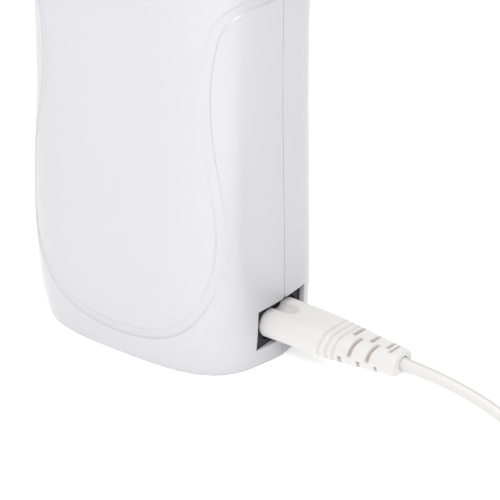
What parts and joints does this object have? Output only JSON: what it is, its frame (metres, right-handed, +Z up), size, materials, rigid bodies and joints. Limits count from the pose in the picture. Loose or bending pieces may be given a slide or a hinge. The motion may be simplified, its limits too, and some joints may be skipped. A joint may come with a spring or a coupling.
{
  "type": "roll on wax heater",
  "caption": "Upright oval-section heater for a roll-on wax cartridge, with a clear lift-off cap, a push button, a side mains inlet and a plugged-in lead.",
  "frame": {"origin": "middle of the base of the heater, without its lead", "axes": "+Z up, the front panel faces -Y, the mains inlet and the lead are on +X"},
  "size_m": [0.2687, 0.0615, 0.176],
  "materials": {
    "shell": "satin white moulding with a fine grain",
    "button": "glossy white",
    "clear": "clear moulding",
    "inlet": "black, slightly satin",
    "connector": "soft warm white PVC",
    "cord": "soft white sheath",
    "tie": "flat white band",
    "well": "heat-resistant off-white moulding",
    "aluminium": "brushed plate",
    "ceramic": "unglazed off-white",
    "steel": "bright sheet",
    "spring": "spring temper",
    "screw": "zinc plated",
    "sheet": "amber insulation sheet",
    "cutoff": "plain metal case",
    "board": "green laminate",
    "black_part": "black moulding",
    "led": "tinted",
    "lens": "red light pipe",
    "pin": "nickel plated",
    "contact": "tinned brass",
    "brown_wire": "brown sleeve",
    "blue_wire": "blue sleeve",
    "white_wire": "white sleeve"
  },
  "bodies": {
    "body": {"front_shell": "shell", "rear_shell": "shell", "level_window": "clear", "housing_screws": "screw", "cartridge_well": "well", "top_collar": "shell", "collar_screws": "screw", "heater_plate": "aluminium", "ptc_element": "ceramic", "heater_clamp": "steel", "clamp_screws": "screw", "insulation_sheet": "sheet", "thermal_cutoff": "cutoff", "cutoff_clip": "steel", "cartridge_spring_left": "spring", "cartridge_spring_right": "spring", "control_board": "board", "board_screws": "screw", "push_switch": "black_part", "pilot_led": "led", "led_lens": "lens", "control_triac": "black_part", "inlet_socket": "inlet", "inlet_pin_front": "pin", "inlet_pin_rear": "pin", "live_wire": "brown_wire", "neutral_wire": "blue_wire", "switched_wire": "brown_wire", "element_lead": "white_wire"},
    "cap": {"cap": "clear"},
    "button": {"power_button": "button", "switch_plunger": "button"},
    "lead": {"connector_body": "connector", "connector_contact_front": "contact", "connector_contact_rear": "contact", "cord_run": "cord", "cord_coil": "cord", "cord_tail": "cord", "coil_tie": "tie", "mains_plug": "connector", "mains_pins": "pin"}
  },
  "joints": [
    {"name": "cap_lift", "type": "slide", "parent": "body", "child": "cap", "axis": [0, 0, 1], "range_m": [0, 0.045]},
    {"name": "button_press", "type": "slide", "parent": "body", "child": "button", "axis": [0, 1, 0], "range_m": [0, 0.0006], "stiffness_N_per_m": 1500, "springref_m": -0.0004},
    {"name": "lead_pull", "type": "slide", "parent": "body", "child": "lead", "axis": [1, 0, 0], "range_m": [0, 0.017]}
  ]
}
